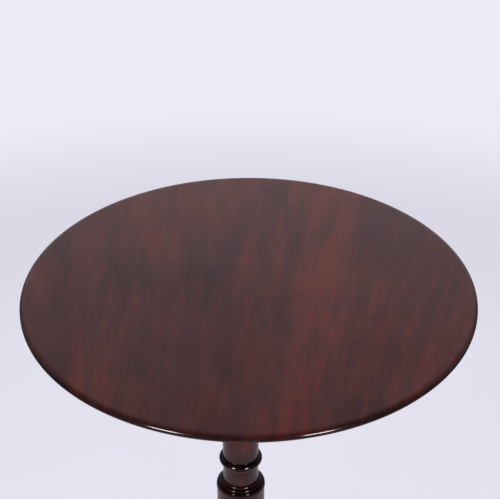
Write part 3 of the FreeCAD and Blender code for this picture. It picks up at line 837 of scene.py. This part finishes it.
@dataclass
class Column:
    """The turned column: hub, barrel, three rings, neck, bead, long shaft and cap, with its tenon.

    Wear and grime go from 0 to 1, and more than 1 leaves no patches. The grime attribute also paints shade
    on the rings, neck and bead, and the wear attribute paints a lit line under the bead.
    """

    recess_depth: float = 0.002
    recess_radius: float = 0.0291
    recess_grime: float = 0.6
    recess_edge_grime: float = 0.4
    hub_radius: float = 0.033
    hub_height: float = 0.116
    hub_round: float = 0.004
    hub_cuts: int = 8
    hub_foot_wear: float = 0.3
    hub_head_wear: float = 0.5
    hub_top_grime: float = 0.8
    fillet_radius: float = 0.028
    fillet_height: float = 0.003
    fillet_grime: float = 0.9
    base_ring_radius: float = 0.034
    base_ring_height: float = 0.011
    base_ring_wear: float = 0.6
    base_ring_grime: float = 0.7
    base_cove_height: float = 0.008
    base_cove_hollow: float = 0.0016
    base_cove_grime: float = 0.4
    barrel_radius: float = 0.0286
    barrel_height: float = 0.1058
    barrel_cuts: int = 10
    barrel_head_grime: float = 0.1
    big_ring_radius: float = 0.0293
    big_ring_height: float = 0.0102
    big_ring_swell: float = 0.00104
    big_ring_wear: float = 0.35
    middle_ring_radius: float = 0.0261
    middle_ring_height: float = 0.0038
    small_ring_radius: float = 0.0238
    small_ring_height: float = 0.0037
    small_ring_swell: float = 0.0014
    ring_painted_shade: float = 0.95
    ring_crest_lightening: float = 0.2
    neck_radius: float = 0.0215
    neck_height: float = 0.0233
    neck_hollow: float = 0.0005
    neck_foot_painted_shade: float = 0.5
    neck_painted_shade: float = 0.9
    lit_line_height: float = 0.0010
    lit_line_drop: float = 0.0013
    lit_line_strength: float = 1.8
    bead_radius: float = 0.0256
    bead_height: float = 0.0103
    bead_steps: int = 20
    bead_painted_shade: float = 1.0
    bead_crest_lightening: float = -0.4
    shaft_foot_radius: float = 0.0213
    shaft_foot_height: float = 0.020
    shaft_foot_cuts: int = 2
    shaft_foot_darkening: float = 0.35
    shaft_head_radius: float = 0.018
    shaft_hollow: float = 0.0003
    shaft_steps: int = 24
    cap_cove_height: float = 0.009
    cap_cove_hollow: float = 0.0018
    cap_cove_grime: float = 0.4
    cap_ring_radius: float = 0.028
    cap_ring_height: float = 0.009
    cap_ring_swell: float = 0.0036
    cap_ring_wear: float = 0.4
    cap_ring_grime: float = 0.5
    tenon_radius: float = 0.014
    turn_steps: int = 160
    pattern_offset: Triple = (0.2, 0.1, 0.45)

    def build(self) -> None:
        """Build the column and dress it."""
        low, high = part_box("column")
        axis = Vector(((low.x + high.x) / 2, (low.y + high.y) / 2, 0.0))
        block_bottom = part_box("tilt_block")[0].z
        profile = TurnedProfile(0.0, low.z + self.recess_depth)
        profile.line(self.recess_radius, low.z + self.recess_depth, grime_and_painted_shade=self.recess_grime)
        profile.line(self.recess_radius, low.z, grime_and_painted_shade=self.recess_edge_grime)
        self.draw_hub(profile, low.z)
        self.draw_rings(profile)
        self.draw_shaft(profile, block_bottom)
        profile.line(self.tenon_radius, block_bottom)
        profile.line(self.tenon_radius, high.z)
        profile.line(0.0, high.z)
        column = profile.spun("turned_column", axis, self.turn_steps)
        grain = Grain(axis + Vector(self.pattern_offset), Vector((0.0, 0.0, 1.0)))
        dress(column, STAND_MAHOGANY.material("column", grain))
        stand_for(column, "column", "stand")

    def draw_hub(self, profile: TurnedProfile, bottom: float) -> None:
        """Draw the hub that the legs join, and the base ring and barrel above it.

        Args:
            profile: The profile to extend.
            bottom: Height of the hub's underside.
        """
        top = bottom + self.hub_height
        profile.line(self.hub_radius, bottom, wear_and_painted_light=self.hub_foot_wear)
        profile.line(self.hub_radius, top - self.hub_round, cuts=self.hub_cuts)
        profile.quarter_round(self.hub_radius - self.hub_round, top, wear_and_painted_light=self.hub_head_wear)
        profile.line(self.fillet_radius, top, grime_and_painted_shade=self.hub_top_grime)
        ring_bottom = top + self.fillet_height
        profile.line(self.fillet_radius, ring_bottom, grime_and_painted_shade=self.fillet_grime)
        ring_top = ring_bottom + self.base_ring_height
        swell = self.base_ring_radius - self.fillet_radius
        profile.arc(self.fillet_radius, ring_top, swell, wear_and_painted_light=self.base_ring_wear,
                    grime_and_painted_shade=self.base_ring_grime)
        barrel_bottom = ring_top + self.base_cove_height
        profile.arc(self.barrel_radius, barrel_bottom, -self.base_cove_hollow, grime_and_painted_shade=self.base_cove_grime)
        barrel_top = barrel_bottom + self.barrel_height
        profile.line(self.barrel_radius, barrel_top, grime_and_painted_shade=self.barrel_head_grime, cuts=self.barrel_cuts)

    def draw_rings(self, profile: TurnedProfile) -> None:
        """Draw the three rings, the neck and the bead.

        Args:
            profile: The profile to extend.
        """
        height = profile.end.co.z
        rings = (
            (self.big_ring_radius, self.big_ring_height, self.big_ring_swell, self.big_ring_wear),
            (self.middle_ring_radius, self.middle_ring_height, self.small_ring_swell, 0.0),
            (self.small_ring_radius, self.small_ring_height, self.small_ring_swell, 0.0),
        )
        # Painted shade: the rings are darkened all over through the grime attribute, a little less on their
        # crests.
        for radius, tall, swell, wear_and_painted_light in rings:
            profile.line(radius - swell, height, grime_and_painted_shade=self.ring_painted_shade)
            height += tall
            profile.arc(radius - swell, height, swell, wear_and_painted_light=wear_and_painted_light, grime_and_painted_shade=self.ring_painted_shade,
                        crest_lightening=self.ring_crest_lightening)
        # Painted shade: the neck is darkened from its foot upwards.
        profile.line(self.neck_radius, height, grime_and_painted_shade=self.neck_foot_painted_shade)
        height += self.neck_height
        # Painted light: an orange line just under the bead, through the wear attribute and the worn_and_lit
        # colour, stands in for floor bounce light.
        worn_and_lit = height - self.lit_line_drop
        profile.arc(self.neck_radius, worn_and_lit - self.lit_line_height, -self.neck_hollow, grime_and_painted_shade=self.neck_painted_shade,
                    crest_lightening=0.0)
        profile.line(self.neck_radius, worn_and_lit, wear_and_painted_light=self.lit_line_strength)
        profile.line(self.neck_radius, worn_and_lit + self.lit_line_height, grime_and_painted_shade=self.neck_painted_shade)
        # Painted shade: a dark band just under the bead, and the bead itself darkest on its crest.
        profile.line(self.neck_radius, height, grime_and_painted_shade=self.bead_painted_shade)
        height += self.bead_height
        swell = self.bead_radius - (self.neck_radius + self.shaft_foot_radius) / 2
        profile.arc(self.shaft_foot_radius, height, swell, grime_and_painted_shade=self.bead_painted_shade,
                    crest_lightening=self.bead_crest_lightening, steps=self.bead_steps)

    def draw_shaft(self, profile: TurnedProfile, block_bottom: float) -> None:
        """Draw the long shaft and the cap under the block.

        Args:
            profile: The profile to extend.
            block_bottom: Height of the block's underside.
        """
        ring_bottom = block_bottom - self.cap_ring_height
        shaft_top = ring_bottom - self.cap_cove_height
        cap_root = self.cap_ring_radius - self.cap_ring_swell
        foot_top = profile.end.co.z + self.shaft_foot_height
        # Darker towards the shaft's foot, through the grime attribute.
        profile.line(self.shaft_foot_radius, foot_top, grime_and_painted_shade=self.shaft_foot_darkening,
                     cuts=self.shaft_foot_cuts)
        profile.arc(self.shaft_head_radius, shaft_top, -self.shaft_hollow, steps=self.shaft_steps)
        profile.arc(cap_root, ring_bottom, -self.cap_cove_hollow, grime_and_painted_shade=self.cap_cove_grime)
        profile.arc(cap_root, block_bottom, self.cap_ring_swell, wear_and_painted_light=self.cap_ring_wear,
                    grime_and_painted_shade=self.cap_ring_grime)


@dataclass
class Legs:
    """The three swept legs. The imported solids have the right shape, so they stay."""

    names: tuple[str, ...] = ("leg_left", "leg_front", "leg_back")
    grain_fall: float = math.radians(55.0)

    def build(self, nodes: dict[str, bpy.types.Object]) -> None:
        """Dress each leg with grain that runs from its knee to its foot.

        Args:
            nodes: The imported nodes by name.
        """
        for index, name in enumerate(self.names):
            angle = math.pi + math.tau * index / len(self.names)
            low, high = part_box(name)
            outward = Vector((math.cos(angle), math.sin(angle), 0.0))
            direction = outward * math.cos(self.grain_fall) - Vector((0.0, 0.0, math.sin(self.grain_fall)))
            dress(nodes[name], STAND_MAHOGANY.material(name, Grain((low + high) / 2, direction)))


@dataclass
class TiltGear:
    """The block on the column, its pivots and wedge, and the bearers that swing on them."""

    along_x: tuple[str, ...] = ("tilt_block", "bearer_front", "bearer_back")
    pins: tuple[str, ...] = ("pivot_pin_front", "pivot_pin_back")

    def build(self, nodes: dict[str, bpy.types.Object]) -> None:
        """Dress the plain wooden pieces.

        Args:
            nodes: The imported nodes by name.
        """
        for name in self.along_x:
            self.dress_wood(nodes, name, PLAIN_MAHOGANY, Vector((1.0, 0.0, 0.0)))
        for name in self.pins:
            self.dress_wood(nodes, name, PALE_HARDWOOD, Vector((0.0, 1.0, 0.0)))
        self.dress_wood(nodes, "tenon_wedge", PALE_HARDWOOD, Vector((0.0, 0.0, 1.0)))

    @staticmethod
    def dress_wood(nodes: dict[str, bpy.types.Object], name: str, finish: WoodFinish,
                   direction: Vector) -> None:
        """Dress one wooden node.

        Args:
            nodes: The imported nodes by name.
            name: The node.
            finish: Its finish.
            direction: The way that its grain runs.
        """
        low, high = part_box(name)
        dress(nodes[name], finish.material(name, Grain((low + high) / 2, direction)))


@dataclass
class Ironwork:
    """The brass catch and keeper, the iron plate and all the screws."""

    brass: tuple[str, ...] = (
        "catch_plate", "catch_guides", "catch_plate_screws", "catch_bolt", "catch_knob", "keeper_plate",
        "keeper_screws",
    )
    iron: tuple[str, ...] = ("leg_plate",)
    steel: tuple[str, ...] = ("bearer_screws", "leg_plate_screws")

    def build(self, nodes: dict[str, bpy.types.Object]) -> None:
        """Dress the metal pieces.

        Args:
            nodes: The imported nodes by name.
        """
        for names, finish in ((self.brass, AGED_BRASS), (self.iron, BLACK_IRON), (self.steel, DULL_STEEL)):
            material = finish.material()
            for name in names:
                dress(nodes[name], material)


@dataclass
class Studio:
    """The pale floor, the soft lights and the camera."""

    floor_radius: float = 9.0
    floor_segments: int = 96
    floor_roughness: float = 0.9
    floor_specular: float = 0.1
    floor_colour: Colour = (0.770, 0.755, 0.850)
    # Painted reflection: only glossy rays see floor_mirrored within mirror_reach and floor_reflected_dark
    # beyond it.
    floor_mirrored: Colour = (0.480, 0.470, 0.530)
    floor_reflected_dark: Colour = (0.110, 0.107, 0.115)
    floor_shown: Colour = (0.842, 0.826, 0.920)
    # Painted shadow: the floor's glow that the camera sees dips to floor_painted_shadow in a ring round the
    # table.
    floor_painted_shadow: Colour = (0.705, 0.691, 0.790)
    floor_near: Colour = (0.770, 0.755, 0.858)
    near_reach: Span = (0.85, 1.25)
    painted_shadow_reach: Span = (1.34, 1.84)
    near_share: float = 0.6
    far_share: float = 1.0
    share_reach: Span = (0.75, 1.5)
    mirror_reach: Span = (0.62, 0.85)
    sky_back: Colour = (0.940, 0.920, 1.000)
    sky_above: Colour = (0.235, 0.230, 0.258)
    sky_dark: Colour = (0.090, 0.088, 0.100)
    sky_fade: Span = (0.42, 0.64)
    sky_front: Span = (0.0, 0.25)
    sky_sides: Span = (0.15, 0.55)
    sky_width: Span = (0.25, 0.55)
    eye: Triple = (0.0014, -1.4870, 1.7254)
    look_down: float = math.radians(32.817)
    lens_mm: float = 116.29
    sensor_mm: float = 36.0
    lamp_aim: Triple = (0.0, 0.0, 0.55)
    lamp_distance: float = 2.0
    left_bearing: float = math.radians(-35.0)
    right_bearing: float = math.radians(29.0)
    lamp_rise: float = math.radians(1.0)
    lamp_size: float = 0.44
    lamp_watts: float = 18.5
    fill_aim: Triple = (0.0, 0.0, 0.71)
    fill_distance: float = 3.0
    fill_rise: float = math.radians(75.0)
    fill_size: float = 1.6
    fill_watts: float = 105.0

    def build(self) -> None:
        """Build the floor, sky, lamps and camera."""
        self.build_floor()
        self.build_sky()
        for name, bearing in (("left", self.left_bearing), ("right", self.right_bearing)):
            self.add_lamp(f"softbox_{name}", self.lamp_aim, bearing, self.lamp_rise, self.lamp_distance,
                          self.lamp_size, self.lamp_watts)
        overhead = self.add_lamp("overhead", self.fill_aim, math.pi, self.fill_rise, self.fill_distance,
                                 self.fill_size, self.fill_watts)
        overhead.visible_glossy = False
        self.build_camera()

    def build_floor(self) -> None:
        """Lay a wide matt floor that takes the table's shadow, with a painted reflection and a painted
        shadow ring.
        """
        mesh = bmesh.new()
        bmesh.ops.create_circle(mesh, cap_ends=True, radius=self.floor_radius, segments=self.floor_segments)
        floor = finished_piece("floor", mesh)
        material, graph, shader, output = new_material("floor_paper")
        coords = graph.add("ShaderNodeTexCoord")
        length = graph.add("ShaderNodeVectorMath", operation="LENGTH")
        graph.feed(length.inputs[0], coords.outputs["Object"])
        reach = length.outputs["Value"]
        path = graph.add("ShaderNodeLightPath")
        # Painted reflection: reflections see a pale pool of floor near the table and dark floor farther out,
        # not the floor's lit colour.
        pale_reflection_mask = graph.remap(reach, *self.mirror_reach, 1.0, 0.0)
        mirrored = graph.blend(pale_reflection_mask, self.floor_reflected_dark, self.floor_mirrored)
        colour = graph.blend(path.outputs["Is Glossy Ray"], self.floor_colour, mirrored)
        graph.feed(shader.inputs["Base Color"], colour)
        shader.inputs["Roughness"].default_value = self.floor_roughness
        shader.inputs["Specular IOR Level"].default_value = self.floor_specular
        glow = graph.add("ShaderNodeEmission")
        # Painted shadow: the glow goes from floor_near down to floor_painted_shadow and back up to
        # floor_shown far away.
        ring = graph.blend(graph.remap(reach, *self.near_reach), self.floor_near, self.floor_painted_shadow)
        tint = graph.blend(graph.remap(reach, *self.painted_shadow_reach), ring, self.floor_shown)
        graph.feed(glow.inputs["Color"], tint)
        share = graph.remap(reach, *self.share_reach, self.near_share, self.far_share)
        shown = graph.number("MULTIPLY", path.outputs["Is Camera Ray"], share)
        mix = graph.add("ShaderNodeMixShader")
        graph.feed(mix.inputs[0], shown)
        graph.feed(mix.inputs[1], shader.outputs["BSDF"])
        graph.feed(mix.inputs[2], glow.outputs["Emission"])
        graph.feed(output.inputs["Surface"], mix.outputs["Shader"])
        dress(floor, material)

    def build_sky(self) -> None:
        """Surround the table with a dim room and a pale wall behind it."""
        world = bpy.data.worlds.new("studio_glow")
        bpy.context.scene.world = world
        world.use_nodes = True
        graph = Graph(world.node_tree)
        coords = graph.add("ShaderNodeTexCoord")
        split = graph.add("ShaderNodeSeparateXYZ")
        graph.feed(split.inputs["Vector"], coords.outputs["Generated"])
        below = graph.remap(split.outputs["Z"], *self.sky_fade, 1.0, 0.0)
        behind = graph.remap(split.outputs["Y"], *self.sky_sides)
        aside = graph.number("ABSOLUTE", split.outputs["X"])
        wall = graph.number("MULTIPLY", behind, graph.remap(aside, *self.sky_width, 1.0, 0.0))
        room = graph.blend(graph.remap(split.outputs["Y"], *self.sky_front), self.sky_dark, self.sky_above)
        glow = graph.blend(graph.number("MULTIPLY", below, wall), room, self.sky_back)
        path = graph.add("ShaderNodeLightPath")
        shown = graph.blend(path.outputs["Is Camera Ray"], glow, self.floor_shown)
        background = graph.add("ShaderNodeBackground")
        graph.feed(background.inputs["Color"], shown)
        output = graph.add("ShaderNodeOutputWorld")
        graph.feed(output.inputs["Surface"], background.outputs["Background"])

    def add_lamp(self, name: str, aim: Triple, bearing: float, rise: float, distance: float, size: float,
                 watts: float) -> bpy.types.Object:
        """Hang a square soft lamp.

        Args:
            name: The lamp's name.
            aim: The point that it faces.
            bearing: Its angle from the front, to the right where positive.
            rise: Its angle above the level of the aim.
            distance: Its distance from the aim.
            size: Its side.
            watts: Its power.

        Returns:
            The lamp.
        """
        lamp = bpy.data.lights.new(name, "AREA")
        lamp.size = size
        lamp.energy = watts
        holder = bpy.data.objects.new(name, lamp)
        direction = Vector((
            math.sin(bearing) * math.cos(rise),
            -math.cos(bearing) * math.cos(rise),
            math.sin(rise),
        ))
        holder.location = Vector(aim) + direction * distance
        holder.rotation_euler = direction.to_track_quat("Z", "Y").to_euler()
        bpy.context.scene.collection.objects.link(holder)
        return holder

    def build_camera(self) -> None:
        """Set the camera at the photograph's place and angle."""
        data = bpy.data.cameras.new("photo_camera")
        data.lens = self.lens_mm
        data.sensor_width = self.sensor_mm
        camera = bpy.data.objects.new("photo_camera", data)
        camera.location = self.eye
        camera.rotation_euler = (math.pi / 2 - self.look_down, 0.0, 0.0)
        bpy.context.scene.collection.objects.link(camera)
        bpy.context.scene.camera = camera


def main() -> None:
    """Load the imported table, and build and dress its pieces."""
    logging.basicConfig(level=logging.INFO, format="%(name)s: %(message)s")
    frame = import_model()
    nodes = frame["nodes"]
    bpy.context.scene.view_settings.view_transform = "Standard"
    Studio().build()
    TopBoard().build()
    Column().build()
    Legs().build(nodes)
    TiltGear().build(nodes)
    Ironwork().build(nodes)


if __name__ == "__main__":
    main()
